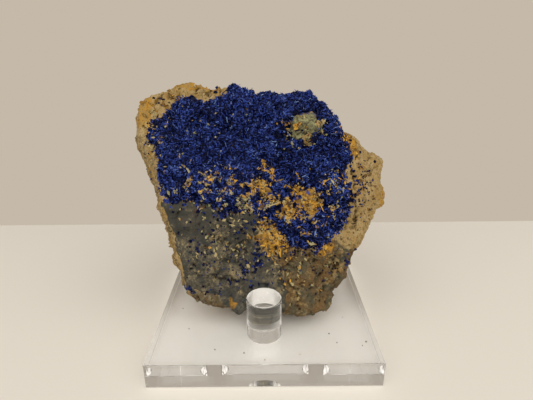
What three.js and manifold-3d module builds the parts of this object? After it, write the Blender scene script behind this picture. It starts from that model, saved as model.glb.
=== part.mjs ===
// Azurite specimen on a clear acrylic stand.
// A lump of iron-stained rock carries a crust of azurite crystals over its upper face. It rests on a
// square acrylic plate and leans between three round pegs.
// Millimetres, +Z up. The face looks along -Y, and the origin is the centre of the plate's underside.
import * as THREE from "three";
import { ImprovedNoise } from "three/addons/math/ImprovedNoise.js";
import { mergeVertices } from "three/addons/utils/BufferGeometryUtils.js";
import Module from "manifold-3d";

const wasm = await Module();
wasm.setup();
const { clamp, degToRad, lerp, seededRandom } = THREE.MathUtils;

// Stand
const PLATE_SIDE = 101.6;
const PLATE_THICKNESS = 12;
const PLATE_ARRIS = 0.5;
const PEG_DIAMETER = 15.9;
const PEG_HEIGHT = 19;
const PEG_ARRIS = 0.6;
const PEG_SIDES = 36;
const FRONT_PEG_Y = -30.5;
const BACK_PEG_X = 29;
const BACK_PEG_Y = 34.5;

// Rock: the plane of its widest outline leans back, and stands on the plate at its foot
const LEAN = degToRad(18);
const FOOT_Y = -17;
const GAP = 0.3;
const STONE_DETAIL = 12;
const FRONT_CAP = degToRad(84);
const BACK_CAP = degToRad(116);
const BACK_SHARE = 0.87;
const SIDE_DEPTH_SHARE = 0.8;
const BACK_DEPTH = 35;
const LEAST_DEPTH = 14;
const BEVEL_SHARE = 0.09;

// The widest outline as [right, up] on the leaning plane, anticlockwise from the right-hand point
const HEART = new THREE.Vector2(0, 55);
const OUTLINE = [
  [62, 56], [59, 65], [57, 74], [51, 80], [44, 86.5], [37, 89.5], [32, 93], [26, 100], [19, 104.5],
  [8, 103.5], [-4, 104.5], [-10, 109], [-15, 113.5], [-20, 114], [-31, 112.5], [-44, 110], [-57, 108],
  [-62, 101], [-63, 92], [-61, 82], [-57, 76], [-53.5, 67], [-50, 57], [-49.5, 48], [-46, 35], [-43, 22],
  [-38, 11], [-29, 7], [-17, 3], [-14, -1], [12, -2], [25, -1], [31, 3], [37, 11], [41, 20], [41, 30],
  [49, 37], [56, 45],
];

// Broken faces of the front as planes, each the height above the leaning plane at a point [right, up]
const FRONT_FACES = {
  upper: (x, y) => 0.26 * (108 - y),
  lower: (x, y) => 4 + 0.245 * (y + 0.4 * x - 3),
  rightFlank: (x) => 0.5 + 0.42 * (60 - x),
  lowerRight: (x, y) => 14 - 0.4 * (x - 22) - 0.3 * (35 - y),
};

// Broken faces of the back in the same way, each the depth behind the leaning plane
const BACK_FACES = {
  main: (x) => BACK_DEPTH + 0.1 * x,
  upper: (x, y) => BACK_DEPTH - 0.5 * (y - 74) - 0.1 * x,
  left: (x, y) => BACK_DEPTH + 0.55 * (x + 26) - 0.15 * (y - 60),
  right: (x, y) => BACK_DEPTH - 0.6 * (x - 22) + 0.1 * (y - 60),
  lowerRight: (x, y) => BACK_DEPTH - 0.5 * (x - 12) - 0.35 * (20 - y),
};

// Dimples and swells of the front: place, radius and height
const SWELLS = [
  { at: [-15, 89], radius: 3.5, height: -3.5 },
  { at: [-36, 73], radius: 13, height: 2.5 },
  { at: [-30, 88], radius: 9, height: -2.2 },
  { at: [4, 82], radius: 11, height: -1.8 },
  { at: [20, 92], radius: 13, height: 1.6 },
  { at: [-8, 62], radius: 9, height: 1.8 },
  { at: [10, 73], radius: 6, height: -1.8 },
  { at: [24, 42], radius: 10, height: 2.2 },
  { at: [-12, 36], radius: 9, height: -2 },
  { at: [-26, 26], radius: 8, height: 1.5 },
  { at: [16, 20], radius: 8, height: 2.4 },
  { at: [3, 24], radius: 7, height: -2.2 },
  { at: [30, 22], radius: 6, height: -2 },
];

// Roughness: broad swell, finer grain, and flat chips with a step between them
const SWELL_SIZE = 22;
const SWELL_HEIGHT = 1.6;
const GRAIN_SIZE = 7;
const GRAIN_HEIGHT = 1.1;
const CHIP_COUNT = 130;
const CHIP_MIDDLE = new THREE.Vector3(0, 55, -10);
const CHIP_SPREAD = new THREE.Vector3(65, 60, 35);
const CHIP_TILT = 0.24;
const CHIP_LIMIT = 2;
const CHIP_SHARE_UNDER_CRUST = 0.3;
const CHIP_SEED = 11;

// Lumps of rock that stand out of the face: place, half sizes [right, up, out], and turn in the face
const LUMPS = [
  { at: [19.5, 90], half: [9.5, 6.5, 8], turn: 0.12 },
  { at: [20, 57.5], half: [5, 4.4, 2.8], turn: -0.5 },
  { at: [10.5, 54], half: [3, 4.2, 2.2], turn: 0.3 },
  { at: [0, 62], half: [5, 2.6, 2.4], turn: -0.5 },
  { at: [3, 40], half: [6, 5, 2.8], turn: 0.6 },
  { at: [28, 33], half: [4, 3.4, 2.6], turn: 0.2 },
  { at: [-13, 6], half: [4, 5, 3], turn: 0.1 },
];
const LUMP_DETAIL = 1;
const LUMP_ROUGHNESS = 0.22;

// Azurite crust: its outline on the leaning plane, which runs past the rim along the top, and its windows
const CRUST_THICKNESS = 1.6;
const CRUST_WRAP = 7;
const CRUST_DETAIL = 14;
const CRUST_JITTER = 0.03;
const DRUSE_HEIGHT = 1.9;
const CRUST_SEED = 5;
const CRUST_OUTLINE = [
  [-17, 109], [-21, 107], [-28, 104], [-33, 106], [-41, 106], [-46, 98], [-52, 95], [-55, 87], [-50, 81],
  [-48, 76], [-49, 71], [-46, 61], [-41, 56], [-33, 57], [-22, 54], [-18, 51], [-9, 55], [-4, 53], [-1, 48],
  [4, 49], [7, 44], [8, 39], [13, 36], [25, 34], [30, 38], [38, 45], [41, 52], [41, 63], [36, 69], [42, 75],
  [40, 83], [39, 97], [27, 112], [8, 114], [-8, 119], [-16, 119],
];
const CRUST_WINDOWS = [
  [[15, 63], [22, 63], [28, 56], [21, 48], [15, 55]],
  [[7, 58], [13, 57], [13, 50], [10, 47], [7, 52]],
  [[-6, 66], [0, 66], [6, 60], [0, 58]],
];

// Azurite blades: chisel-ended crystals that stand in the crust, smaller and larger than this one
const BLADE_COUNT = 40;
const BLADE_WIDTH = 2.6;
const BLADE_LENGTH = 4;
const BLADE_SHOULDER = 3;
const BLADE_THICKNESS = 1;
const BLADE_SINK = 2;
const BLADE_LEAN = 1;
const BLADE_SMALLEST = 0.7;
const BLADE_LARGEST = 1.3;
const BLADE_INSIDE_SHARE = 0.98;

const noise = new ImprovedNoise();
const signedRandom = () => 2 * seededRandom() - 1;
const signedVector = () => new THREE.Vector3(signedRandom(), signedRandom(), signedRandom());
const shapeOf = (points) => new THREE.Shape(points.map(([x, y]) => new THREE.Vector2(x, y)));
const heartPolar = OUTLINE.map(([x, y]) => {
  const arm = new THREE.Vector2(x, y).sub(HEART);
  return { angle: arm.angle(), radius: arm.length() };
}).sort((a, b) => a.angle - b.angle);

// Distance from the heart to the outline in one direction
function rimRadius(angle) {
  const turn = (angle + 2 * Math.PI) % (2 * Math.PI);
  const after = Math.max(0, heartPolar.findIndex((point) => point.angle > turn));
  const next = heartPolar[after];
  const last = heartPolar.at(after - 1);
  const span = (next.angle - last.angle + 2 * Math.PI) % (2 * Math.PI);
  const share = ((turn - last.angle + 2 * Math.PI) % (2 * Math.PI)) / span;
  return last.radius + share * (next.radius - last.radius);
}

// Height of the front above the leaning plane; share is 0 at the heart and 1 at the rim
function frontHeight(x, y, share) {
  const faces = Object.values(FRONT_FACES).map((face) => face(x, y));
  let height = Math.min(...faces);
  for (const { at, radius, height: swell } of SWELLS) {
    const distance = Math.hypot(x - at[0], y - at[1]) / radius;
    height += swell * Math.exp(-distance * distance);
  }
  return height * Math.min(1, (1 - share) / BEVEL_SHARE);
}

// Depth of the back behind the leaning plane
function backDepth(x, y) {
  const faces = Object.values(BACK_FACES).map((face) => face(x, y));
  return Math.max(LEAST_DEPTH, Math.min(...faces));
}

// A direction from the middle of the stone to its point there: front, side or back
function stonePoint(direction) {
  const around = Math.atan2(direction.y, direction.x);
  const tilt = Math.acos(clamp(direction.z, -1, 1));
  const rim = rimRadius(around);
  const onPlane = (share) => [
    HEART.x + share * rim * Math.cos(around),
    HEART.y + share * rim * Math.sin(around),
  ];
  if (tilt < FRONT_CAP) {
    const share = Math.sin(tilt / 2) / Math.sin(FRONT_CAP / 2);
    const [x, y] = onPlane(share);
    return new THREE.Vector3(x, y, frontHeight(x, y, share));
  }
  if (tilt < BACK_CAP) {
    const side = (tilt - FRONT_CAP) / (BACK_CAP - FRONT_CAP);
    const [x, y] = onPlane(1 - (1 - BACK_SHARE) * side * side);
    return new THREE.Vector3(x, y, -side * SIDE_DEPTH_SHARE * backDepth(x, y));
  }
  const share = Math.cos(tilt / 2) / Math.cos(BACK_CAP / 2);
  const [x, y] = onPlane(BACK_SHARE * share);
  const round = Math.min(1, (1 - share) / BEVEL_SHARE);
  return new THREE.Vector3(x, y, -backDepth(x, y) * lerp(SIDE_DEPTH_SHARE, 1, round));
}

// Flat chips: each patch of the surface leans its own way, with a step to the next patch
seededRandom(CHIP_SEED);
const chips = Array.from({ length: CHIP_COUNT }, () => ({
  centre: signedVector().multiply(CHIP_SPREAD).add(CHIP_MIDDLE),
  lean: signedVector().multiplyScalar(CHIP_TILT),
}));

function chipHeight(point) {
  const nearest = chips.reduce((best, chip) =>
    chip.centre.distanceToSquared(point) < best.centre.distanceToSquared(point) ? chip : best,
  );
  const underCrust = point.z > 0 && point.y > HEART.y;
  const height = clamp(point.clone().sub(nearest.centre).dot(nearest.lean), -CHIP_LIMIT, CHIP_LIMIT);
  return underCrust ? CHIP_SHARE_UNDER_CRUST * height : height;
}

function roughness(point) {
  const noiseAt = (size) => noise.noise(point.x / size, point.y / size, point.z / size);
  return SWELL_HEIGHT * noiseAt(SWELL_SIZE) + GRAIN_HEIGHT * noiseAt(GRAIN_SIZE) + chipHeight(point);
}

// Closed geometries to solids that can be joined and cut, and back
function welded(geometry) {
  geometry.deleteAttribute("normal");
  geometry.deleteAttribute("uv");
  return mergeVertices(geometry);
}

function solidOf(geometry) {
  const { position } = geometry.attributes;
  const triVerts = new Uint32Array(geometry.index.array);
  return new wasm.Manifold(new wasm.Mesh({ numProp: 3, vertProperties: position.array, triVerts }));
}

function geometryOf(solid) {
  const { vertProperties, triVerts } = solid.getMesh();
  const geometry = new THREE.BufferGeometry();
  geometry.setAttribute("position", new THREE.BufferAttribute(vertProperties, 3));
  geometry.setIndex(new THREE.BufferAttribute(triVerts, 1));
  geometry.computeVertexNormals();
  return geometry;
}

// Move every point of a geometry to where place puts it
function movePoints(geometry, place) {
  const { position, normal } = geometry.attributes;
  const point = new THREE.Vector3();
  const outward = new THREE.Vector3();
  for (let i = 0; i < position.count; i += 1) {
    point.fromBufferAttribute(position, i);
    if (normal) outward.fromBufferAttribute(normal, i);
    const { x, y, z } = place(point, outward);
    position.setXYZ(i, x, y, z);
  }
  geometry.computeVertexNormals();
}

// Lift a point that is below the plate's top straight up to it
function seated(point) {
  const height = point.y * Math.cos(LEAN) + point.z * Math.sin(LEAN);
  const lift = Math.max(0, -height);
  return point.add(new THREE.Vector3(0, lift * Math.cos(LEAN), lift * Math.sin(LEAN)));
}

// The stone as a ball whose points are moved to its shape, roughened, and grown by a height of their own
function stoneGeometry(detail, jitter, growth) {
  const geometry = welded(new THREE.IcosahedronGeometry(1, detail));
  movePoints(geometry, (point) => {
    const direction = point.clone().addScaledVector(signedVector(), jitter).normalize();
    return stonePoint(direction);
  });
  movePoints(geometry, (point, outward) => {
    const height = roughness(point) + growth();
    return seated(point.clone().addScaledVector(outward, height));
  });
  return geometry;
}

// A knobbly lump that stands out of the face, grown all round by a margin
function lumpSolid({ at, half, turn }, seed, margin) {
  seededRandom(seed);
  const geometry = welded(new THREE.IcosahedronGeometry(1, LUMP_DETAIL));
  movePoints(geometry, (point) => {
    const bulge = 1 + LUMP_ROUGHNESS * signedRandom();
    return point.multiply(new THREE.Vector3(...half).multiplyScalar(bulge).addScalar(margin));
  });
  const arm = new THREE.Vector2(...at).sub(HEART);
  const height = frontHeight(...at, arm.length() / rimRadius(arm.angle()));
  geometry.rotateZ(turn);
  geometry.translate(...at, height);
  return solidOf(geometry);
}

function rockSolid(margin) {
  const stone = solidOf(stoneGeometry(STONE_DETAIL, 0, () => margin));
  return LUMPS.reduce((rock, lump, i) => rock.add(lumpSolid(lump, i + 1, margin)), stone);
}

// One chisel-ended blade, standing along +Y with its foot below the origin
function bladeGeometry(size) {
  const half = BLADE_WIDTH / 2;
  const outline = shapeOf([
    [-half, 0],
    [half, 0],
    [half, BLADE_SHOULDER],
    [half / 3, BLADE_LENGTH],
    [-half, BLADE_SHOULDER],
  ]);
  const extent = { depth: BLADE_THICKNESS, bevelEnabled: false };
  const geometry = welded(new THREE.ExtrudeGeometry(outline, extent));
  geometry.translate(0, -BLADE_SINK, -BLADE_THICKNESS / 2);
  geometry.scale(size, size, size);
  return geometry;
}

// The prism that keeps the crust inside its outline and out of its windows
function crustPrism() {
  const outline = shapeOf(CRUST_OUTLINE);
  outline.holes = CRUST_WINDOWS.map(shapeOf);
  const depth = CRUST_WRAP + BACK_DEPTH;
  const geometry = new THREE.ExtrudeGeometry(outline, { depth, bevelEnabled: false });
  geometry.translate(0, 0, -CRUST_WRAP);
  return solidOf(welded(geometry));
}

// Blades at seeded places on the crust, each leaning its own way off the surface
function bladeSolids(blank, prism) {
  const { position, normal } = blank.attributes;
  const blades = [];
  while (blades.length < BLADE_COUNT) {
    const i = Math.floor(seededRandom() * position.count);
    const foot = new THREE.Vector3().fromBufferAttribute(position, i);
    const outward = new THREE.Vector3().fromBufferAttribute(normal, i);
    const standing = outward.addScaledVector(signedVector(), BLADE_LEAN).normalize();
    const turn = new THREE.Quaternion().setFromUnitVectors(THREE.Object3D.DEFAULT_UP, standing);
    const geometry = bladeGeometry(lerp(BLADE_SMALLEST, BLADE_LARGEST, seededRandom()));
    geometry.rotateY(Math.PI * seededRandom());
    geometry.applyQuaternion(turn);
    geometry.translate(foot.x, foot.y, foot.z);
    const blade = solidOf(geometry);
    const inside = blade.intersect(prism).volume() > BLADE_INSIDE_SHARE * blade.volume();
    if (inside) blades.push(blade);
  }
  return blades;
}

function crustSolid() {
  seededRandom(CRUST_SEED);
  const druseHeight = () => CRUST_THICKNESS + DRUSE_HEIGHT * seededRandom();
  const blank = stoneGeometry(CRUST_DETAIL, CRUST_JITTER, druseHeight);
  const prism = crustPrism();
  const sheet = solidOf(blank).intersect(prism);
  const druse = bladeSolids(blank, prism).reduce((crust, blade) => crust.add(blade), sheet);
  const pieces = druse.subtract(rockSolid(GAP)).subtract(rockSolid(0)).decompose();
  return pieces.reduce((largest, piece) => (piece.volume() > largest.volume() ? piece : largest));
}

function plateGeometry() {
  const half = PLATE_SIDE / 2 - PLATE_ARRIS;
  const outline = shapeOf([[-half, -half], [half, -half], [half, half], [-half, half]]);
  const geometry = new THREE.ExtrudeGeometry(outline, {
    depth: PLATE_THICKNESS - 2 * PLATE_ARRIS,
    bevelThickness: PLATE_ARRIS,
    bevelSize: PLATE_ARRIS,
    bevelSegments: 1,
  });
  geometry.translate(0, 0, PLATE_ARRIS);
  return geometryOf(solidOf(welded(geometry)));
}

function pegGeometry() {
  const radius = PEG_DIAMETER / 2;
  const profile = [
    new THREE.Vector2(0, 0),
    new THREE.Vector2(radius, 0),
    new THREE.Vector2(radius, PEG_HEIGHT - PEG_ARRIS),
    new THREE.Vector2(radius - PEG_ARRIS, PEG_HEIGHT),
    new THREE.Vector2(0, PEG_HEIGHT),
  ];
  const geometry = new THREE.LatheGeometry(profile, PEG_SIDES);
  geometry.rotateX(Math.PI / 2);
  return geometryOf(solidOf(welded(geometry)));
}

const limonite = new THREE.MeshStandardMaterial({ color: 0x8a7650, roughness: 0.95, metalness: 0 });
const azurite = new THREE.MeshStandardMaterial({ color: 0x17236b, roughness: 0.4, metalness: 0 });
const acrylic = new THREE.MeshStandardMaterial({
  color: 0xe4e0d8,
  roughness: 0.05,
  metalness: 0,
  transparent: true,
  opacity: 0.35,
});

function part(name, geometry, material) {
  const mesh = new THREE.Mesh(geometry, material);
  mesh.name = name;
  return mesh;
}

// The specimen leans back as one group, with its foot just clear of the plate
const specimen = new THREE.Group();
specimen.position.set(0, FOOT_Y, PLATE_THICKNESS + GAP);
specimen.rotation.x = Math.PI / 2 - LEAN;
specimen.add(part("matrix_rock", geometryOf(rockSolid(0)), limonite));
specimen.add(part("azurite_crust", geometryOf(crustSolid()), azurite));

const stand = new THREE.Group();
stand.add(part("base_plate", plateGeometry(), acrylic));
const pegs = {
  front_peg: [0, FRONT_PEG_Y],
  back_peg_left: [-BACK_PEG_X, BACK_PEG_Y],
  back_peg_right: [BACK_PEG_X, BACK_PEG_Y],
};
for (const [name, [x, y]] of Object.entries(pegs)) {
  const peg = part(name, pegGeometry(), acrylic);
  peg.position.set(x, y, PLATE_THICKNESS);
  stand.add(peg);
}

const azuriteSpecimen = new THREE.Group();
azuriteSpecimen.add(stand, specimen);

export default azuriteSpecimen;
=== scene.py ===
"""Azurite specimen on a clear acrylic stand: its fine surfaces, finishes, light and camera."""

import math

import bmesh
import bpy
import numpy as np
from bpy.props import FloatProperty, FloatVectorProperty, IntProperty, PointerProperty
from bpy.types import Operator, Panel, PropertyGroup
from mathutils import Matrix, Vector, noise
from mathutils.bvhtree import BVHTree


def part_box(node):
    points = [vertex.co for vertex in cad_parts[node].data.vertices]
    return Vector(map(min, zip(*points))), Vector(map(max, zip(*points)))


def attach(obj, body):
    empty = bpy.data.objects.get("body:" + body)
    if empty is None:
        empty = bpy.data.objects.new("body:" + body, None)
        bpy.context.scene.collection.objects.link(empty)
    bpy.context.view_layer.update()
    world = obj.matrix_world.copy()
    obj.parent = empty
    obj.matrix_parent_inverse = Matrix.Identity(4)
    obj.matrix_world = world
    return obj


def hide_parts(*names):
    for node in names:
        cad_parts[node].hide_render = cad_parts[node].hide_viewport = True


bl_info = {
    "name": "Azurite specimen",
    "version": (1, 0, 0),
    "blender": (4, 5, 0),
    "location": "View3D > Sidebar > Specimen",
    "description": "Builds an azurite crust on iron-stained rock, on a clear acrylic peg stand",
    "category": "Object",
}

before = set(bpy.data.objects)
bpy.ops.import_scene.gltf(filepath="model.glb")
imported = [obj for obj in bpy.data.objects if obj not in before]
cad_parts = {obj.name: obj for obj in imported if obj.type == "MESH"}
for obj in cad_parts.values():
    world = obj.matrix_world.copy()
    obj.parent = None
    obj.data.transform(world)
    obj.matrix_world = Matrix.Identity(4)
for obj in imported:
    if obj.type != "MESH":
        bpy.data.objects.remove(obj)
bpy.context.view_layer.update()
BODY = "root"
MM = 0.001

# The rock leans back. A place on its face is (right, up, out) in mm from its foot, out towards the viewer.
LEAN = math.radians(18)
FOOT = np.array([0, -17, 12.3])
FACE_AXES = np.array([
    [1, 0, 0],
    [0, math.sin(LEAN), math.cos(LEAN)],
    [0, -math.cos(LEAN), math.sin(LEAN)],
])
FACE_OUT = Vector(FACE_AXES[2])

# Outlines on the face, as (right, up) in mm
CRUST_OUTLINE = [
    (-17, 109), (-21, 107), (-28, 104), (-33, 106), (-41, 106), (-46, 98), (-52, 95), (-55, 87), (-50, 81),
    (-48, 76), (-49, 71), (-46, 61), (-41, 56), (-33, 57), (-22, 54), (-18, 51), (-9, 55), (-4, 53), (-1, 48),
    (4, 49), (7, 44), (8, 39), (13, 36), (25, 34), (30, 38), (38, 45), (41, 52), (41, 63), (36, 69), (42, 75),
    (40, 83), (39, 97), (27, 112), (8, 114), (-8, 119), (-16, 119),
]
CRUST_WINDOWS = [
    [(15, 63), (22, 63), (28, 56), (21, 48), (15, 55)],
    [(7, 58), (13, 57), (13, 50), (10, 47), (7, 52)],
    [(-6, 66), (0, 66), (6, 60), (0, 58)],
    [(10.4, 91.3), (16, 92.5), (24, 94.5), (28.7, 91), (28.2, 86), (21.6, 82.4), (14, 85.4)],
]
CRUST_WRAP = 7
GREY_OUTLINE = [
    (-46, 58), (-22, 56), (-1, 50), (1, 44), (-1, 35), (7, 27), (11, 12), (8, -6), (-18, -6), (-36, 8),
    (-40, 27), (-43, 45),
]
SIDE_BAND = [(-66, 92), (-48, 82), (-47, 60), (-43, 45), (-40, 27), (-35, 8), (-45, 0), (-66, 40)]
BROWN_OUTLINE = [
    (11, 12), (7, 27), (0, 36), (9, 40), (25, 35), (32, 38), (45, 31), (45, 18), (38, 8), (30, -6), (8, -6),
]

# Dark ledges and cracks, as open lines of (right, up) in mm
GROOVES = [
    [(-34, 25), (-31, 30), (-27, 35.5), (-23, 39), (-19, 38)],
    [(-31, 20), (-22, 19.5), (-12, 18.5), (-5, 17), (2, 15)],
    [(-16, 34), (-12, 31), (-9, 33)],
    [(14, 30), (19, 27), (24, 28)],
    [(27, 20), (29, 14), (28, 8)],
    [(17, 17), (22, 15), (26, 17)],
    [(36, 34), (33, 29), (35, 24)],
]

# Patches on the face: (right, up) of the middle, half sizes along and across, and turn
BROWN_PATCHES = [((-28, 7.5), (9, 3.5), -0.4), ((-20, 2), (6, 2.5), -0.3)]
OCHRE_PATCHES = [
    ((3, 41), (6.5, 5), 0.2), ((6, 36), (3.5, 4.5), 0.0), ((20, 57), (8, 6), -0.5), ((11, 53), (4, 6), 0.3),
    ((-2, 62), (7, 3), -0.4), ((-12, 65), (3.5, 2), 0.0), ((3, 70), (2, 6), 0.45), ((37, 65), (2, 5), 0.1),
    ((28, 34), (4, 2.5), 0.3), ((41, 84), (3, 8), 0.4), ((-15.3, 6.7), (1.5, 2.2), 0.2),
]
GOLD_PATCHES = [
    ((-28, 112), (16, 2.2), 0.05), ((-57, 99), (3.5, 9), -0.3), ((59, 58), (3, 6), -0.2),
    ((46, 88), (7, 2), -0.7),
]
NODULE = ((19.5, 88.3), (12.5, 8.5), 0.12)
PLAIN_GREY = ((-36, 49), (10, 9), 0.0)
SLATE_PATCHES = [((-10.5, 4), (9, 6.5), 0.0), ((-21, 11), (9, 3), -0.25), ((-1, 16), (8, 3), -0.2)]
CRUST_PITS = [
    ((-15, 89.4), (2.6, 2), 0.0), ((-40, 81.5), (7, 1.8), 0.15), ((8, 86), (4, 2.5), -0.4),
    ((16, 81), (8, 2), 0.15), ((-22, 60), (6, 1.6), 0.0),
]

# Sizes across, in mm, of the forms in the rock's relief
LUMP_SIZE = 11
FACET_SIZE = 7
CHIP_SIZE = 2.8
GRAIN_SIZE = 1.7

# The toe of rock behind the front peg, in mm: how far it is drawn forward, and where it starts and is full
TOE_REACH = 3.0
TOE_SIDE = (8.5, 4.5)
TOE_BACK = (-9, -16)
TOE_TOP = (22, 15)

# Every scatter starts from this seed or one of the next three
SEED = 41

# Loose azurite on the bare rock: a crystal's size in mm
SPECK_SIZE = (0.65, 0.5, 0.7)
# Its clusters: (right, up) of the middle, spread each way, and number of crystals
SPECK_CLUSTERS = [
    ((-18.5, 52.5), (1.6, 2), 110), ((-7, 24.5), (2.6, 2.2), 90), ((-1.5, 30), (2.2, 2.8), 90),
    ((-28, 32), (4, 3.5), 60), ((-12, 17), (7, 1.2), 40), ((-36, 13), (1.2, 1.2), 40),
    ((-26, 12), (4, 1), 25),
    ((-18, 36), (14, 11), 130), ((-5, 46), (7, 4), 80), ((47, 63), (3.5, 6), 80), ((20, 28), (12, 8), 40),
    ((-47, 101), (4, 4), 25), ((-52, 86), (2, 7), 50), ((25.5, 86), (1.8, 1.5), 60),
    ((17, 87), (3, 2.5), 30), ((43, 70), (2, 6), 60),
    ((12, 34), (6, 3), 40), ((40, 26), (1, 2), 20), ((-10, 53), (12, 2), 120), ((5, 44), (3, 4), 15),
    ((-15, 108), (5, 2), 50), ((18, 57), (5, 5), 20),
]

# Flakes of ochre and other grains: a flake's size in mm
FLAKE_SIZE = (1.35, 0.8, 0.6)
# Their clusters: middle, spread along and across, turn, number, and range of tone from umber to green
FLAKE_CLUSTERS = [
    ((-36, 64), (7, 4.5), 0.0, 130, (0.35, 1)), ((-22, 63), (8, 5), -0.1, 230, (0.3, 1)),
    ((-29, 67), (3, 1.2), 0.1, 60, (0.3, 0.8)), ((-12, 65), (2.5, 2), 0.0, 60, (0.1, 0.6)),
    ((-3, 62), (6, 3), -0.4, 300, (0.08, 0.7)), ((-9, 57), (8, 2.5), 0.0, 200, (0.4, 1)),
    ((1, 61.5), (2.2, 1.1), -0.5, 70, (0.1, 0.45)), ((2.5, 71), (1.4, 4), 0.6, 100, (0.1, 0.6)),
    ((-1, 75), (1.5, 1.5), 0.0, 40, (0.1, 0.5)), ((11, 53), (3.5, 5), 0.2, 300, (0.02, 0.8)),
    ((20, 57), (5, 4), -0.5, 320, (0.02, 0.8)), ((33, 51), (4, 1), -0.6, 50, (0.4, 0.8)),
    ((33, 62), (4, 6), 0.1, 120, (0.25, 1)), ((4, 41), (5, 3.5), 0.1, 240, (0.02, 0.8)),
    ((6, 35), (2.5, 4), 0.1, 110, (0.02, 0.6)), ((27, 35), (3, 1.5), 0.3, 60, (0.1, 0.6)),
    ((20, 87), (5.5, 3.5), 0.1, 200, (0.4, 1)), ((12.5, 91), (2.5, 1.2), -0.2, 60, (0.05, 0.35)),
    ((25.5, 91.5), (2.2, 1.8), 0.0, 70, (0.55, 0.75)), ((20, 88), (5, 3.5), 0.1, 40, (0, 0.05)),
    ((-35, 107), (9, 2.5), 0.05, 60, (0.4, 0.8)), ((-53, 92), (2, 6), -0.2, 60, (0.3, 0.8)),
    ((20, 44), (8, 4), 0.2, 60, (0.4, 1)), ((-30, 88), (14, 9), 0.0, 50, (0.5, 1)),
    ((-16, 39), (12, 8), 0.0, 160, (0.45, 1)), ((20, 25), (9, 8), 0.0, 150, (0.3, 1)),
    ((-46, 103), (4.5, 3), 0.0, 110, (0, 0.1)), ((-50, 84), (2, 9), -0.2, 80, (0.4, 0.75)),
    ((46, 64), (4, 8), 0.1, 70, (0, 0.08)), ((12, 48), (6, 5), 0.0, 120, (0.02, 0.7)),
    ((40, 82), (1.5, 6), 0.4, 40, (0.1, 0.6)),
    ((-34, 97), (1, 0.7), 0.0, 14, (0.1, 0.4)), ((-25.7, 100.3), (0.7, 0.7), 0.0, 8, (0.2, 0.5)),
]

# Stand, in mm: its pegs, how far each is sunk to weld it, and the dust on the plate as (x, y)
PEGS = ("front_peg", "back_peg_left", "back_peg_right")
PEG_SEGMENTS = 96
WELD_SINK = 2
SHARP_ANGLE = math.radians(10)
DUST_SIZE = (0.6, 0.5, 0.4)
DUST_PLACES = [
    (45.6, -37.8), (43.4, -40.3), (32.5, -38.3), (29.8, -32.4), (-21.6, -42), (-35.5, -28.1), (0.3, -48.2),
    (38.2, -20.5), (-41.3, -12.6), (15.4, -45.2), (-8.7, -44.1),
]

# Stage: the shelf's corners, the light and the camera's place, all in mm
SHELF_LOW = (-900, -900, -22)
SHELF_HIGH = (900, 118, -0.2)
LAMP_PLACE = (50, -650, 850)
LAMP_AIM = (0, 0, 60)
LAMP_SIZE = (2800, 2000)
CAMERA_PLACE = (1.52, -178.21, 134.82)
CAMERA_PITCH = math.radians(21.12)
CAMERA_ROLL = math.radians(-0.48)
# How far from dim to bright the room is where it is seen through the acrylic
SEEN_THROUGH = 0.55


def linear_rgb(code):
    """An sRGB hex colour as linear red, green and blue."""
    channels = [int(code[i : i + 2], 16) / 255 for i in (1, 3, 5)]
    return tuple(c / 12.92 if c <= 0.04045 else ((c + 0.055) / 1.055) ** 2.4 for c in channels)


def colour_property(name, description, code):
    colour = (*linear_rgb(code), 1)
    return FloatVectorProperty(
        name=name, description=description, subtype="COLOR", size=4, min=0, max=1, default=colour
    )


def size_property(name, description, millimetres):
    size = millimetres * MM
    return FloatProperty(
        name=name, description=description, subtype="DISTANCE", unit="LENGTH", min=0, default=size
    )


class RockSettings(PropertyGroup):
    """The iron-stained rock."""

    voxel: size_property("Surface step", "Spacing of the rock's fine surface", 0.68)
    lumps: size_property("Lumps", "Relief of the rock's broad lumps", 1.0)
    facets: size_property("Facets", "Relief of the rock's broken facets", 1.5)
    grain: size_property("Grain", "Relief of the rock's grain", 0.45)
    groove: size_property("Grooves", "Depth of the dark ledges and cracks", 0.9)
    tan: colour_property("Tan", "Weathered limonite", "#a08552")
    buff: colour_property("Buff", "Paler limonite", "#b29d73")
    umber: colour_property("Umber", "Dark limonite", "#5a4229")
    rust: colour_property("Rust", "Brown limonite of the lower right", "#70593a")
    olive: colour_property("Olive", "Grey-green clay among the brown", "#535242")
    ochre: colour_property("Ochre", "Earthy yellow iron stain", "#b28634")
    yellow: colour_property("Yellow", "Brightest ochre", "#d8a847")
    grey: colour_property("Grey", "Fresh broken rock", "#3d403c")
    drab: colour_property("Drab", "Brownish grey in the fresh rock", "#4d4b45")
    grit: colour_property("Grit", "Grey-tan grains in the fresh rock", "#a29572")
    slate: colour_property("Slate", "Blue-grey film near the foot", "#3a4652")
    green: colour_property("Green", "Pale green film of malachite", "#94936c")
    cream: colour_property("Cream", "Palest grains", "#bcb084")
    # Shade darkens the rock's hollows: painted shade, partly dirt.
    shade: colour_property("Shade", "Dirt in the hollows", "#5c5142")


class AzuriteSettings(PropertyGroup):
    """The azurite crust, its crystals and its loose specks."""

    voxel: size_property("Surface step", "Spacing of the crust's fine surface", 0.7)
    relief: size_property("Relief", "Lumps of the crust", 1.6)
    crystals: IntProperty(name="Crystals", description="Small crystals on the crust", min=0, default=16000)
    crystal_width: size_property("Crystal width", "Across a crystal", 0.62)
    crystal_length: size_property("Crystal length", "Along a crystal", 0.9)
    blades: IntProperty(name="Blades", description="Long thin blades on the crust", min=0, default=3200)
    blade_width: size_property("Blade width", "Across a blade", 0.36)
    blade_length: size_property("Blade length", "Along a blade", 1.8)
    # Deep blue is also what crystals in the crust's hollows are pushed towards: painted shade.
    deep: colour_property("Deep blue", "Thick azurite", "#040a2e")
    royal: colour_property("Royal blue", "Azurite in the light", "#374da4")
    # Pale blue stands partly for glints on the blades: painted highlight.
    pale: colour_property("Pale blue", "Thin or weathered blades", "#84a2d6")


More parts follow.
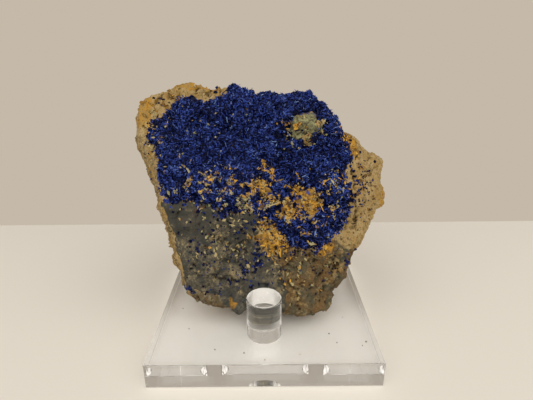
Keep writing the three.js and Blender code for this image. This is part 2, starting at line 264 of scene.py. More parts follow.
class StandSettings(PropertyGroup):
    """The clear acrylic stand."""

    arris: size_property("Plate arris", "Rounding of the plate's edges", 0.12)
    peg_arris: size_property("Peg arris", "Rounding of the rim on each peg", 0.6)
    tint: colour_property("Tint", "Colour of light through the acrylic", "#fafcff")
    dust: colour_property("Dust", "Grains that lie on the plate", "#5a4a38")


class StageSettings(PropertyGroup):
    """Shelf, light and camera."""

    shelf: colour_property("Shelf", "Painted shelf", "#f2efe9")
    backdrop: colour_property("Backdrop", "Colour of the room behind", "#c5b9a9")
    key_power: FloatProperty(
        name="Key light",
        description="Power of the overhead light",
        subtype="POWER",
        unit="POWER",
        default=22.5,
    )
    room_light: FloatProperty(
        name="Room light", description="Share of the backdrop's light", min=0, default=0.45
    )
    lens: FloatProperty(
        name="Lens", description="Focal length for a 36 mm frame", unit="CAMERA", default=26.41
    )


class SpecimenSettings(PropertyGroup):
    """Everything a user may change."""

    rock: PointerProperty(type=RockSettings)
    azurite: PointerProperty(type=AzuriteSettings)
    stand: PointerProperty(type=StandSettings)
    stage: PointerProperty(type=StageSettings)


def settings():
    return bpy.context.scene.azurite_specimen


def face_places(points):
    """Points in metres as (right, up, out) places in mm."""
    return (np.asarray(points) / MM - FOOT) @ FACE_AXES.T


def face_point(right, up, out):
    """One (right, up, out) place in mm as a point in metres."""
    return Vector((FOOT + np.array([right, up, out]) @ FACE_AXES) * MM)


def line_distance(places, line):
    """Distance in mm from each place to an open line on the face."""
    x, y = places[:, 0], places[:, 1]
    nearest = np.full(len(x), np.inf)
    for (ax, ay), (bx, by) in zip(line, line[1:]):
        along = ((x - ax) * (bx - ax) + (y - ay) * (by - ay)) / ((bx - ax) ** 2 + (by - ay) ** 2)
        along = np.clip(along, 0, 1)
        nearest = np.minimum(nearest, np.hypot(x - ax - along * (bx - ax), y - ay - along * (by - ay)))
    return nearest


def depth_inside(places, outline):
    """Distance in mm from each place to a closed outline, positive inside it."""
    x, y = places[:, 0], places[:, 1]
    closed = outline + outline[:1]
    inside = np.zeros(len(x), bool)
    for (ax, ay), (bx, by) in zip(closed, closed[1:]):
        if ay != by:
            crosses = (ay > y) != (by > y)
            inside ^= crosses & (x < ax + (bx - ax) * (y - ay) / (by - ay))
    nearest = line_distance(places, closed)
    return np.where(inside, nearest, -nearest)


def smooth_step(low, high, values):
    share = np.clip((values - low) / (high - low), 0, 1)
    return share * share * (3 - 2 * share)


def patch_cover(places, patches, soft=0.4):
    """How far each place is covered by any of some oval patches, from 0 to 1."""
    cover = np.zeros(len(places))
    for (right, up), (along, across), turn in patches:
        x, y = places[:, 0] - right, places[:, 1] - up
        length = (x * math.cos(turn) + y * math.sin(turn)) / along
        width = (y * math.cos(turn) - x * math.sin(turn)) / across
        cover = np.maximum(cover, smooth_step(1 + soft, 1 - soft, np.hypot(length, width)))
    return cover


def noise_at(places, size, octaves=3, shift=0.0):
    """Smooth noise from about -1 to 1 at places in mm, with lumps of one size in mm."""
    offset = Vector((shift, 2 * shift, -shift))
    return np.array([noise.fractal(Vector(p) / size + offset, 1.0, 2.0, octaves) for p in places])


def facets_at(places, size, shift=0.0):
    """Height, about -0.5 to 0.5, of broken facets of one size in mm, each with a tilt of its own."""
    offset = Vector((shift, -shift, 3 * shift))
    heights = []
    for place in places:
        spot = Vector(place) / size + offset
        middle = noise.voronoi(spot)[1][0]
        tilt = 2 * noise.cell_vector(7.3 * middle) - Vector((1, 1, 1))
        heights.append((spot - middle).dot(tilt))
    return np.array(heights)


def torn(places, size, reach, shift):
    """Places moved about on the face, so that the edge of a zone looks torn and not drawn."""
    moved = places.copy()
    moved[:, 0] += reach * noise_at(places, size, 3, shift)
    moved[:, 1] += reach * noise_at(places, size, 3, shift + 5)
    return moved


def crust_depth(places):
    """Distance in mm into the azurite crust from its edge, windows and wrap, negative outside it."""
    depth = depth_inside(places, CRUST_OUTLINE)
    for window in CRUST_WINDOWS:
        depth = np.minimum(depth, -depth_inside(places, window))
    return np.minimum(depth, places[:, 2] + CRUST_WRAP)


def ragged_crust_depth(places):
    """The crust's depth with its edge broken up into grains and bays, most of all in its lower half."""
    breaks = 2.2 + 3.2 * smooth_step(78, 66, places[:, 1])
    return crust_depth(torn(places, 3, 2.0, 7.3)) + breaks * noise_at(places, 2.4, 2, 4.8)


def points_of(mesh, what="co"):
    values = np.empty(len(mesh.vertices) * 3, np.float32)
    mesh.vertices.foreach_get(what, values)
    return values.reshape(-1, 3).astype(float)


def set_points(mesh, points):
    mesh.vertices.foreach_set("co", np.asarray(points, np.float32).ravel())
    mesh.update()


def set_mask(mesh, name, values):
    mask = mesh.attributes.new(name, "FLOAT", "POINT")
    mask.data.foreach_set("value", np.asarray(values, np.float32))


def eased(mesh, rounds):
    """A mesh's points eased towards their neighbours, which takes the flat facets out of a fine mesh."""
    points = points_of(mesh)
    ends = np.empty(len(mesh.edges) * 2, np.int32)
    mesh.edges.foreach_get("vertices", ends)
    first, second = ends.reshape(-1, 2).T
    count = np.bincount(ends, minlength=len(points))[:, None]
    for _ in range(rounds):
        total = np.zeros_like(points)
        np.add.at(total, first, points[second])
        np.add.at(total, second, points[first])
        points = (points + total / count) / 2
    return points


def hollows(mesh, rounds):
    """How far in mm each point lies below its surroundings, negative where it stands proud."""
    return ((eased(mesh, rounds) - points_of(mesh)) * points_of(mesh, "normal")).sum(1) / MM


def fine_copy(node, name, voxel):
    """A new object with a node's solid meshed again at an even, fine step."""
    piece = bpy.data.objects.new(name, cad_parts[node].data.copy())
    bpy.context.scene.collection.objects.link(piece)
    remesh = piece.modifiers.new("Fine step", "REMESH")
    remesh.mode = "VOXEL"
    remesh.voxel_size = voxel
    graph = bpy.context.evaluated_depsgraph_get()
    fine = bpy.data.meshes.new_from_object(piece.evaluated_get(graph))
    piece.modifiers.clear()
    piece.data = fine
    fine.name = name
    fine.materials.clear()
    return piece


def mesh_object(name, points, faces):
    mesh = bpy.data.meshes.new(name)
    mesh.from_pydata(np.asarray(points).tolist(), [], faces)
    mesh.update()
    piece = bpy.data.objects.new(name, mesh)
    bpy.context.scene.collection.objects.link(piece)
    return piece


def shaped_object(name, shape):
    """A new object from a bmesh, which is then freed."""
    mesh = bpy.data.meshes.new(name)
    shape.to_mesh(mesh)
    shape.free()
    piece = bpy.data.objects.new(name, mesh)
    bpy.context.scene.collection.objects.link(piece)
    return piece


def block(low, high):
    """A plain box between two corners, as a bmesh."""
    shape = bmesh.new()
    size = Matrix.Diagonal((*(high - low), 1))
    bmesh.ops.create_cube(shape, size=1, matrix=Matrix.Translation((low + high) / 2) @ size)
    return shape


def tree_of(piece):
    mesh = piece.data
    return BVHTree.FromPolygons([v.co for v in mesh.vertices], [p.vertices for p in mesh.polygons])


def first_hit(trees, right, up):
    """Where a place on the face meets the nearest of some surfaces, seen from the front."""
    start = face_point(right, up, 60)
    hits = [tree.ray_cast(start, -FACE_OUT) for tree in trees]
    hits = [hit for hit in hits if hit[0] is not None]
    return min(hits, key=lambda hit: hit[3])[:2] if hits else None


def turned_copies(form, sizes, turns, spots):
    """Many sized, turned and placed copies of one small form, as points and faces."""
    template, faces = form
    copies = np.einsum("nij,nkj->nki", turns, template[None] * sizes[:, None]) + spots[:, None]
    step = len(template)
    joined = [[i + k * step for i in face] for k in range(len(spots)) for face in faces]
    return copies.reshape(-1, 3), joined


def standing_turns(normals, stand, random):
    """Turns that spin a form at random and stand its +Z near each normal, nearer the higher stand is."""
    up = stand * normals + random.normal(size=normals.shape)
    up /= np.linalg.norm(up, axis=1)[:, None]
    side = np.cross(up, random.normal(size=normals.shape))
    side /= np.linalg.norm(side, axis=1)[:, None]
    return np.stack([side, np.cross(up, side), up], axis=2)


def add_node(tree, kind, links=None, **values):
    """A node with its settings, its socket values and the links into it, from nodes or their outputs."""
    node = tree.nodes.new(kind)
    for key, value in values.items():
        if hasattr(node, key):
            setattr(node, key, value)
        else:
            node.inputs[key].default_value = value
    for socket, source in (links or {}).items():
        tree.links.new(source.outputs[0] if hasattr(source, "outputs") else source, node.inputs[socket])
    return node


def new_material(name, **sockets):
    """A material with only its shader and output, ready for its own nodes."""
    material = bpy.data.materials.new(name)
    material.use_nodes = True
    tree = material.node_tree
    tree.nodes.clear()
    shader = add_node(tree, "ShaderNodeBsdfPrincipled", **sockets)
    add_node(tree, "ShaderNodeOutputMaterial", {"Surface": shader})
    return material, tree, shader


def set_stops(ramp, stops):
    """The colours of a ramp, from pairs of place and colour."""
    points = ramp.color_ramp.elements
    points[0].position, points[0].color = stops[0]
    points[1].position, points[1].color = stops[-1]
    for place, colour in stops[1:-1]:
        points.new(place).color = colour


def rock_material(look, blue):
    """Limonite: weathered, earthy iron rock, broken and not cut: matt, and mottled in every size."""
    material, tree, shader = new_material(
        "weathered_limonite", Roughness=0.9, **{"Specular IOR Level": 0.2}
    )
    coords = add_node(tree, "ShaderNodeTexCoord").outputs["Object"]
    mottle = add_node(
        tree, "ShaderNodeTexNoise", {"Vector": coords}, Scale=1 / (6 * MM), Detail=6, Roughness=0.75
    )
    flecks = add_node(
        tree, "ShaderNodeTexNoise", {"Vector": coords}, Scale=1 / (1.8 * MM), Detail=4, Roughness=0.75
    )
    pepper = add_node(tree, "ShaderNodeTexNoise", {"Vector": coords}, Scale=1 / (0.7 * MM), Detail=2)
    patchy = add_node(
        tree, "ShaderNodeMapRange", {"Value": mottle}, **{"From Min": 0.42, "From Max": 0.6}
    )
    speckled = add_node(
        tree, "ShaderNodeMapRange", {"Value": flecks}, **{"From Min": 0.44, "From Max": 0.58}
    )
    colour = add_node(tree, "ShaderNodeMixRGB", {"Fac": patchy}, Color1=look.tan, Color2=look.buff)
    zones = (
        ("brown", patchy, look.rust, look.olive),
        ("grey", patchy, look.grey, look.drab),
        ("grit", patchy, look.drab, look.grit),
        ("crumbs", patchy, look.tan, look.buff),
        ("slate", speckled, look.slate, look.grey),
        ("green", speckled, look.green, look.olive),
        ("ochre", speckled, look.ochre, look.rust),
        ("gold", speckled, look.ochre, look.tan),
        ("stain", speckled, blue.deep, blue.royal),
    )
    for name, pattern, main, second in zones:
        mask = add_node(tree, "ShaderNodeAttribute", attribute_name=name).outputs["Fac"]
        ragged = add_node(tree, "ShaderNodeMath", {0: mask, 1: flecks}, operation="ADD")
        cover = add_node(
            tree, "ShaderNodeMapRange", {"Value": ragged}, **{"From Min": 0.88, "From Max": 1.12}
        )
        pair = add_node(tree, "ShaderNodeMixRGB", {"Fac": pattern}, Color1=main, Color2=second)
        colour = add_node(tree, "ShaderNodeMixRGB", {"Fac": cover, "Color1": colour, "Color2": pair})
    grains = add_node(
        tree, "ShaderNodeMapRange", {"Value": pepper}, **{"From Min": 0.56, "From Max": 0.68, "To Max": 0.6}
    )
    colour = add_node(tree, "ShaderNodeMixRGB", {"Fac": grains, "Color1": colour}, Color2=look.umber)
    # The hollows, in fine grains, are darkened towards the shade colour: painted shade, partly dirt lying in
    # them.
    hollow = add_node(tree, "ShaderNodeAttribute", attribute_name="hollow").outputs["Fac"]
    shade_and_dirt = add_node(tree, "ShaderNodeMath", {0: hollow, 1: pepper}, operation="MULTIPLY")
    dark = add_node(tree, "ShaderNodeMapRange", {"Value": shade_and_dirt}, **{"From Min": 0.05, "From Max": 0.55})
    colour = add_node(
        tree, "ShaderNodeMixRGB", {"Fac": dark, "Color1": colour}, blend_type="MULTIPLY", Color2=look.shade
    )
    tree.links.new(colour.outputs[0], shader.inputs["Base Color"])
    relief = add_node(tree, "ShaderNodeMath", {0: flecks, 1: pepper}, operation="ADD")
    bump = add_node(tree, "ShaderNodeBump", {"Height": relief}, Strength=0.6, Distance=0.3 * MM)
    tree.links.new(bump.outputs[0], shader.inputs["Normal"])
    return material


def azurite_material(look):
    """Azurite: glassy copper carbonate, so deep a blue that only lit edges and thin blades show colour. The
    blades' pale blue is partly a painted highlight, standing in for glints.
    """
    material, tree, shader = new_material(
        "azurite_crystal", Roughness=0.36, IOR=1.73, **{"Specular IOR Level": 0.07}
    )
    tone = add_node(tree, "ShaderNodeAttribute", attribute_name="tone").outputs["Fac"]
    ramp = add_node(tree, "ShaderNodeValToRGB", {"Fac": tone})
    set_stops(ramp, [
        (0, look.deep), (0.3, look.deep), (0.85, look.royal), (0.93, look.royal), (1, look.pale),
    ])
    tree.links.new(ramp.outputs[0], shader.inputs["Base Color"])
    return material


def flake_material(look):
    """Ochre: earthy flakes of iron oxide with a little green malachite among them, dull as dry clay."""
    material, tree, shader = new_material("ochre_flakes", Roughness=0.85, **{"Specular IOR Level": 0.25})
    tone = add_node(tree, "ShaderNodeAttribute", attribute_name="tone").outputs["Fac"]
    ramp = add_node(tree, "ShaderNodeValToRGB", {"Fac": tone})
    set_stops(ramp, [
        (0, look.umber), (0.12, look.ochre), (0.35, look.yellow), (0.5, look.tan), (0.7, look.cream),
        (0.85, look.green), (1, look.olive),
    ])
    tree.links.new(ramp.outputs[0], shader.inputs["Base Color"])
    return material


def acrylic_material(look):
    """Cast acrylic: polished on every face and water clear, so it shows by its edges and what it bends."""
    sockets = {"Base Color": look.tint, "Transmission Weight": 1.0}
    return new_material("polished_acrylic", IOR=1.49, Roughness=0.0, **sockets)[0]


def dust_material(look):
    """Rock dust: crumbs shed by the specimen, dark against the clear plate."""
    return new_material("rock_dust", Roughness=0.9, **{"Base Color": look.dust})[0]


def shelf_material(look):
    """Painted board: flat pale emulsion, with no shine to speak of."""
    sockets = {"Base Color": look.shelf, "Specular IOR Level": 0.2}
    return new_material("painted_board", Roughness=0.7, **sockets)[0]


class SPECIMEN_OT_rock(Operator):
    """Make the iron-stained rock, rough all over, with its grey, tan and ochre zones"""

    bl_idname = "specimen.rock"
    bl_label = "Rock"

    def execute(self, context):
        look = settings().rock
        rock = fine_copy("matrix_rock", "rock", look.voxel)
        mesh = rock.data
        set_points(mesh, eased(mesh, 5))
        points = points_of(mesh)
        places = face_places(points)
        zones = self.zones(places)
        band = 0.35 * smooth_step(-1, 1, depth_inside(places, SIDE_BAND))
        smooth, rough = np.maximum(zones["grey"], band), zones["brown"]
        broken = torn(places, 4, 1.5, 9.4)
        height = look.lumps * (1 - 0.4 * smooth) * noise_at(places, LUMP_SIZE, 3, 1.7)
        height += look.facets * (0.6 - 0.2 * smooth + 0.4 * rough) * facets_at(broken, FACET_SIZE, 0.6)
        height += look.facets * (0.3 - 0.22 * smooth) * facets_at(broken, CHIP_SIZE, 0.2)
        height += look.grain * (1 - 0.5 * smooth + 0.5 * rough) * noise_at(places, GRAIN_SIZE, 2, 4.2)
        groove = np.min([line_distance(broken, line) for line in GROOVES], axis=0)
        height -= look.groove * smooth_step(2.6, 0.2, groove) * smooth_step(-4, 0.5, places[:, 2])
        points += points_of(mesh, "normal") * height[:, None]
        points[:, 1] -= TOE_REACH * MM * self.toe(points / MM)
        points[:, 2] = np.maximum(points[:, 2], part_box("matrix_rock")[0].z)
        set_points(mesh, points)
        # How far each point lies in a hollow; the material darkens it by this as painted shade, partly dirt.
        zones["hollow"] = np.maximum(
            smooth_step(0.03, 0.5, hollows(mesh, 14)), 0.45 * smooth_step(0.02, 0.16, hollows(mesh, 3))
        )
        for name, cover in zones.items():
            set_mask(mesh, name, cover)
        mesh.materials.append(rock_material(look, settings().azurite))
        mesh.shade_smooth()
        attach(rock, BODY)
        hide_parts("matrix_rock")
        return {"FINISHED"}

    def toe(self, points):
        """How far each point, in mm, belongs to the toe of rock behind the front peg, from 0 to 1."""
        x, y, z = points.T
        return smooth_step(*TOE_SIDE, abs(x)) * smooth_step(*TOE_BACK, y) * smooth_step(*TOE_TOP, z)

    def zones(self, places):
        """How much of each finish every place on the rock has, from 0 to 1."""
        moved = torn(places, 4, 1.6, 3.1)
        front = smooth_step(-4, 0.5, places[:, 2])
        behind = smooth_step(-5, -9, places[:, 2])
        back_stain = 0.75 * smooth_step(0.05, 0.6, noise_at(places, 16, 3, 8.8))
        green = front * patch_cover(moved, [NODULE])
        grey = front * smooth_step(-1, 1, depth_inside(moved, GREY_OUTLINE))
        brown = front * smooth_step(-3, 3, depth_inside(moved, BROWN_OUTLINE))
        grit = 0.44 + 0.2 * noise_at(places, 9, 2, 5.5) - 0.12 * patch_cover(places, [PLAIN_GREY])
        return {
            "grey": grey * (1 - patch_cover(moved, BROWN_PATCHES)),
            "brown": np.maximum.reduce([
                brown,
                front * patch_cover(moved, BROWN_PATCHES),
                0.44 * smooth_step(-1, 1, depth_inside(places, SIDE_BAND)),
                behind * smooth_step(-0.1, 0.5, noise_at(places, 22, 3, 2.2)),
            ]),
            "grit": grey * grit,
            "crumbs": brown * (0.37 + 0.18 * noise_at(places, 7, 2, 2.6)),
            "ochre": np.maximum(patch_cover(moved, OCHRE_PATCHES) * (1 - behind), behind * back_stain),
            "gold": patch_cover(moved, GOLD_PATCHES) * (1 - behind),
            "green": green,
            "slate": 0.52 * front * patch_cover(moved, SLATE_PATCHES),
            "stain": front * smooth_step(-0.8, 1.2, ragged_crust_depth(places)) * (1 - green),
        }


class SPECIMEN_OT_crust(Operator):
    """Make the azurite crust, torn at its edges and thinning out onto the rock"""

    bl_idname = "specimen.crust"
    bl_label = "Azurite crust"

    def execute(self, context):
        look = settings().azurite
        crust = fine_copy("azurite_crust", "azurite_crust_sheet", look.voxel)
        mesh = crust.data
        set_points(mesh, eased(mesh, 2))
        rock = tree_of(bpy.data.objects["rock"])
        points = points_of(mesh)
        places = face_places(points)
        taper = np.clip(ragged_crust_depth(places) / 3.5, -0.3, 1)
        taper *= 1 - 0.7 * patch_cover(places, CRUST_PITS)
        feet = np.array([rock.find_nearest(Vector(p))[0] for p in points])
        points = feet + (points - feet) * taper[:, None]
        height = look.relief * (noise_at(places, 6, 2, 6.6) + 0.7 * noise_at(places, 2, 2, 2.9))
        points += points_of(mesh, "normal") * (taper * height)[:, None]
        set_points(mesh, points)
        set_mask(mesh, "tone", 0.1 + 0.2 * noise_at(places, 1.5, 2, 6.1))
        mesh.materials.append(azurite_material(look))
        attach(crust, BODY)
        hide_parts("azurite_crust")
        return {"FINISHED"}


def crystal_form():
    """One chisel-ended tablet, 1 wide along X, 1 thick along Y and 1 long along Z, with its foot sunk."""
    outline = [(-0.5, -0.3), (0.5, -0.3), (0.45, 0.45), (-0.3, 0.7)]
    points = np.array([(x, y * (1 if z < 0.5 else 0.6), z) for y in (-0.5, 0.5) for x, z in outline])
    count = len(outline)
    front = list(range(count))
    sides = [[(i + 1) % count, i, count + i, count + (i + 1) % count] for i in front]
    return points, [front, [count + i for i in reversed(front)], *sides]


def make_crystals(name, spots, normals, sizes, stand, tones, random):
    """One mesh of many azurite crystals."""
    form = crystal_form()
    points, joined = turned_copies(form, sizes, standing_turns(normals, stand, random), spots)
    crystals = mesh_object(name, points, joined)
    set_mask(crystals.data, "tone", np.repeat(tones, len(form[0])))
    crystals.data.materials.append(bpy.data.materials["azurite_crystal"])
    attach(crystals, BODY)
    return crystals


class SPECIMEN_OT_crystals(Operator):
    """Grow small azurite crystals and longer blades all over the crust"""

    bl_idname = "specimen.crystals"
    bl_label = "Azurite crystals"

    def execute(self, context):
        look = settings().azurite
        random = np.random.default_rng(SEED)
        width, length = look.crystal_width, look.crystal_length
        spots, normals, hollow = self.spots(look.crystals, random)
        sizes = np.array([width, 0.6 * width, length]) * random.lognormal(0, 0.28, (len(spots), 3))
        shades = noise_at(face_places(spots), 7, 2, 1.1)
        # Crystals lying in the crust's hollows get a deeper tone: painted shade.
        tones = random.beta(0.8, 1.15, len(spots)) + 0.4 * shades - 0.5 * hollow
        make_crystals("azurite_crystals", spots, normals, sizes, 1.3, np.clip(tones, 0, 0.95), random)
        width, length = look.blade_width, look.blade_length
        spots, normals, hollow = self.spots(look.blades, random)
        sizes = np.array([width, 0.5 * width, length]) * random.lognormal(0, 0.3, (len(spots), 3))
        # Blade tones lean to royal and pale, and the palest stand partly for glints: painted highlight.
        # Blades lying in the crust's hollows get a deeper tone: painted shade.
        tones = np.clip(random.beta(3, 1.2, len(spots)) - 0.5 * hollow, 0, 1)
        lying = np.cross(normals, random.normal(size=normals.shape)) + 0.05 * normals
        make_crystals("azurite_blades", spots + 0.4 * MM * normals, lying, sizes, 5.0, tones, random)
        return {"FINISHED"}

    def spots(self, count, random):
        """Points spread evenly over the crust's outer side, their normals and how hollow they lie."""
        mesh = bpy.data.objects["azurite_crust_sheet"].data
        mesh.calc_loop_triangles()
        triangles = np.array([t.vertices for t in mesh.loop_triangles])
        corners = points_of(mesh)[triangles]
        cross = np.cross(corners[:, 1] - corners[:, 0], corners[:, 2] - corners[:, 0])
        area = np.linalg.norm(cross, axis=1)
        outer = cross @ (FACE_AXES[2] + 0.7 * FACE_AXES[1]) > 0.1 * area
        outer &= ragged_crust_depth(face_places(corners.mean(1))) > 0.3
        chosen = random.choice(len(area), count, p=area * outer / (area * outer).sum())
        shares = random.dirichlet((1, 1, 1), count)
        hollow = smooth_step(0.05, 0.6, hollows(mesh, 12))[triangles[chosen, 0]]
        return (corners[chosen] * shares[:, :, None]).sum(1), cross[chosen] / area[chosen][:, None], hollow


class SPECIMEN_OT_specks(Operator):
    """Scatter loose azurite crystals over the bare rock"""

    bl_idname = "specimen.specks"
    bl_label = "Azurite specks"

    def execute(self, context):
        random = np.random.default_rng(SEED + 1)
        rock = tree_of(bpy.data.objects["rock"])
        hits = []
        for middle, spread, count in SPECK_CLUSTERS:
            places = np.pad(random.normal(middle, spread, (2 * count, 2)), ((0, 0), (0, 1)))
            clumps = places[noise_at(places, 2.5, 2, 1.9) > 0]
            hits += [first_hit([rock], *place[:2]) for place in clumps]
        spots, normals = (np.array(part) for part in zip(*[hit for hit in hits if hit]))
        sizes = MM * np.array(SPECK_SIZE) * random.lognormal(0, 0.3, (len(spots), 1))
        tones = random.uniform(0, 0.6, len(spots))
        make_crystals("azurite_specks", spots, normals, sizes, 1.6, tones, random)
        return {"FINISHED"}


def flake_form():
    """One irregular flat-faced grain, about 1 across."""
    grain = bmesh.new()
    bmesh.ops.create_icosphere(grain, subdivisions=1, radius=0.5)
    points = np.array([v.co for v in grain.verts])
    points *= 1 + 0.35 * np.sin(np.arange(len(points)) * 2.4)[:, None]
    faces = [[v.index for v in face.verts] for face in grain.faces]
    grain.free()
    return points, faces


def make_flakes(name, spots, normals, sizes, tones, stand, material, random):
    """One mesh of many grains or flakes of rock."""
    form = flake_form()
    points, joined = turned_copies(form, sizes, standing_turns(normals, stand, random), spots)
    flakes = mesh_object(name, points, joined)
    set_mask(flakes.data, "tone", np.repeat(tones, len(form[0])))
    flakes.data.materials.append(material)
    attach(flakes, BODY)
    return flakes


class SPECIMEN_OT_flakes(Operator):
    """Scatter ochre, pale and dark flakes over the brow, the windows of the crust and the bare rock"""

    bl_idname = "specimen.flakes"
    bl_label = "Ochre flakes"

    def execute(self, context):
        random = np.random.default_rng(SEED + 2)
        trees = [tree_of(bpy.data.objects[name]) for name in ("rock", "azurite_crust_sheet")]
        spots, normals, tones = [], [], []
        for (right, up), spread, turn, count, tone_range in FLAKE_CLUSTERS:
            along, across = random.normal(0, spread, (2 * count, 2)).T
            x = right + along * math.cos(turn) - across * math.sin(turn)
            y = up + along * math.sin(turn) + across * math.cos(turn)
            places = np.stack([x, y, np.zeros_like(x)], axis=1)
            shares = 0.5 + 0.7 * noise_at(places, 2.5, 2, 3.3) + random.normal(0, 0.15, len(x))
            shares[random.random(len(x)) < 0.15] = -1
            clumped = noise_at(places, 3, 2, 0.4) > 0.12
            for place, share in zip(places[clumped], shares[clumped]):
                hit = first_hit(trees, *place[:2])
                if hit:
                    spots.append(hit[0] + 0.1 * MM * hit[1])
                    normals.append(hit[1])
                    tones.append(np.interp(share, (-1, 0, 1), (0, *tone_range)))
        sizes = MM * np.array(FLAKE_SIZE) * random.lognormal(0, 0.5, (len(spots), 3))
        material = flake_material(settings().rock)
        make_flakes("ochre_flakes", np.array(spots), np.array(normals), sizes, tones, 2.2, material, random)
        return {"FINISHED"}


class SPECIMEN_OT_stand(Operator):
    """Make the clear acrylic plate with its welded pegs"""

    bl_idname = "specimen.stand"
    bl_label = "Acrylic stand"

    def execute(self, context):
        look = settings().stand
        low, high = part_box("base_plate")
        plate = block(low, high)
        edges = plate.edges[:]
        bmesh.ops.bevel(plate, geom=edges, offset=look.arris, segments=3, profile=0.5, affect="EDGES")
        stand = shaped_object("acrylic_stand", plate)
        pegs = [self.peg(name, high.z, look.peg_arris) for name in PEGS]
        for peg in pegs:
            weld = stand.modifiers.new("Weld", "BOOLEAN")
            weld.operation = "UNION"
            weld.solver = "EXACT"
            weld.object = peg
        graph = bpy.context.evaluated_depsgraph_get()
        mesh = bpy.data.meshes.new_from_object(stand.evaluated_get(graph))
        stand.modifiers.clear()
        stand.data = mesh
        for peg in pegs:
            bpy.data.objects.remove(peg)
        mesh.materials.clear()
        mesh.materials.append(acrylic_material(look))
        mesh.shade_smooth()
        mesh.set_sharp_from_angle(angle=SHARP_ANGLE)
        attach(stand, BODY)
        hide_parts("base_plate", *PEGS)
        return {"FINISHED"}

    def peg(self, name, plate_top, arris):
        """A round peg with a polished arris at its top, sunk a little way to weld it to the plate."""
        low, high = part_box(name)
        middle = (low + high) / 2
        bottom = plate_top - WELD_SINK * MM
        radius = (high.x - low.x) / 2
        rod = bmesh.new()
        bmesh.ops.create_cone(
            rod,
            cap_ends=True,
            segments=PEG_SEGMENTS,
            radius1=radius,
            radius2=radius,
            depth=high.z - bottom,
            matrix=Matrix.Translation((middle.x, middle.y, (high.z + bottom) / 2)),
        )
        rim = [edge for edge in rod.edges if all(v.co.z > middle.z for v in edge.verts)]
        bmesh.ops.bevel(rod, geom=rim, offset=arris, segments=3, profile=0.5, affect="EDGES")
        return shaped_object(name + "_rod", rod)


class SPECIMEN_OT_dust(Operator):
    """Drop a few grains of rock dust on the plate"""

    bl_idname = "specimen.dust"
    bl_label = "Dust"

    def execute(self, context):
        random = np.random.default_rng(SEED + 3)
        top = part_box("base_plate")[1].z
        sizes = MM * np.array(DUST_SIZE) * random.lognormal(0, 0.3, (len(DUST_PLACES), 1))
        spots = np.array([(x * MM, y * MM, top) for x, y in DUST_PLACES])
        spots[:, 2] += 0.3 * sizes[:, 2]
        normals = np.tile((0.0, 0.0, 1.0), (len(spots), 1))
        material = dust_material(settings().stand)
        make_flakes("rock_dust", spots, normals, sizes, np.zeros(len(spots)), 3.0, material, random)
        return {"FINISHED"}


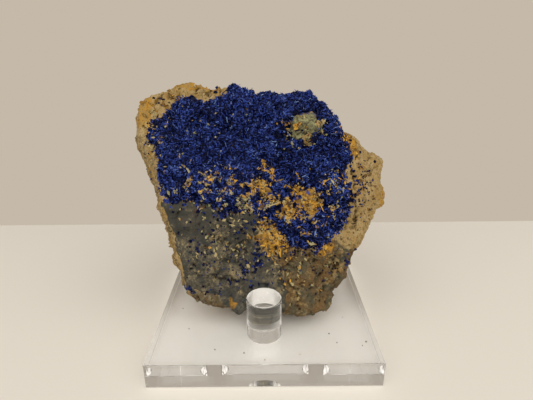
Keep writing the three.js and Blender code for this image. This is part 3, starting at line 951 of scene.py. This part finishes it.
class SPECIMEN_OT_stage(Operator):
    """Set the shelf, the light and the camera"""

    bl_idname = "specimen.stage"
    bl_label = "Stage"

    def execute(self, context):
        look = settings().stage
        shelf = shaped_object("shelf", block(Vector(SHELF_LOW) * MM, Vector(SHELF_HIGH) * MM))
        shelf.data.materials.append(shelf_material(look))
        self.light(context.scene, look)
        self.camera(context.scene, look)
        return {"FINISHED"}

    def light(self, scene, look):
        """A wide soft overhead light in an even room, with bounces enough to cross the acrylic."""
        lamp = bpy.data.lights.new("overhead_light", "AREA")
        lamp.shape = "RECTANGLE"
        lamp.size, lamp.size_y = Vector(LAMP_SIZE) * MM
        lamp.energy = look.key_power
        lamp.color = linear_rgb("#fffaf2")
        key = bpy.data.objects.new("overhead_light", lamp)
        key.location = Vector(LAMP_PLACE) * MM
        aim = Vector(LAMP_AIM) * MM - key.location
        key.rotation_euler = aim.to_track_quat("-Z", "Y").to_euler()
        scene.collection.objects.link(key)
        scene.world = self.room(look)
        scene.view_settings.view_transform = "Standard"
        scene.cycles.max_bounces = 32
        scene.cycles.glossy_bounces = 24
        scene.cycles.transmission_bounces = 32
        scene.cycles.blur_glossy = 0

    def room(self, look):
        """A room that is even where it is seen, plainly or through acrylic, and dimmer where it lights."""
        world = bpy.data.worlds.new("room")
        world.use_nodes = True
        tree = world.node_tree
        tree.nodes.clear()
        path = add_node(tree, "ShaderNodeLightPath")
        seen = add_node(
            tree,
            "ShaderNodeMath",
            {0: path.outputs["Is Transmission Ray"], 2: path.outputs["Is Camera Ray"]},
            operation="MULTIPLY_ADD",
        )
        seen.inputs[1].default_value = SEEN_THROUGH
        dim = add_node(tree, "ShaderNodeBackground", Color=look.backdrop, Strength=look.room_light)
        bright = add_node(tree, "ShaderNodeBackground", Color=look.backdrop, Strength=1.0)
        both = add_node(tree, "ShaderNodeMixShader", {0: seen, 1: dim, 2: bright})
        add_node(tree, "ShaderNodeOutputWorld", {"Surface": both})
        return world

    def camera(self, scene, look):
        lens = bpy.data.cameras.new("camera")
        lens.lens = look.lens
        lens.sensor_width = 36
        eye = bpy.data.objects.new("camera", lens)
        pitch = Matrix.Rotation(math.radians(90) - CAMERA_PITCH, 4, "X")
        roll = Matrix.Rotation(CAMERA_ROLL, 4, "Z")
        eye.matrix_world = Matrix.Translation(Vector(CAMERA_PLACE) * MM) @ pitch @ roll
        scene.collection.objects.link(eye)
        scene.camera = eye


PIECES = [
    SPECIMEN_OT_rock,
    SPECIMEN_OT_crust,
    SPECIMEN_OT_crystals,
    SPECIMEN_OT_specks,
    SPECIMEN_OT_flakes,
    SPECIMEN_OT_stand,
    SPECIMEN_OT_dust,
    SPECIMEN_OT_stage,
]


class VIEW3D_PT_specimen(Panel):
    """Buttons for the pieces and their settings"""

    bl_label = "Azurite specimen"
    bl_space_type = "VIEW_3D"
    bl_region_type = "UI"
    bl_category = "Specimen"

    def draw(self, context):
        look = settings()
        for piece in PIECES:
            self.layout.operator(piece.bl_idname)
        for group in (look.rock, look.azurite, look.stand, look.stage):
            box = self.layout.box()
            for name in group.__annotations__:
                box.prop(group, name)


CLASSES = [
    RockSettings,
    AzuriteSettings,
    StandSettings,
    StageSettings,
    SpecimenSettings,
    *PIECES,
    VIEW3D_PT_specimen,
]


def register():
    for each in CLASSES:
        bpy.utils.register_class(each)
    bpy.types.Scene.azurite_specimen = PointerProperty(type=SpecimenSettings)


def unregister():
    del bpy.types.Scene.azurite_specimen
    for each in reversed(CLASSES):
        bpy.utils.unregister_class(each)


def main():
    register()
    bpy.ops.specimen.rock()
    bpy.ops.specimen.crust()
    bpy.ops.specimen.crystals()
    bpy.ops.specimen.specks()
    bpy.ops.specimen.flakes()
    bpy.ops.specimen.stand()
    bpy.ops.specimen.dust()
    bpy.ops.specimen.stage()
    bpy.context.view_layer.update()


if __name__ == "__main__":
    main()
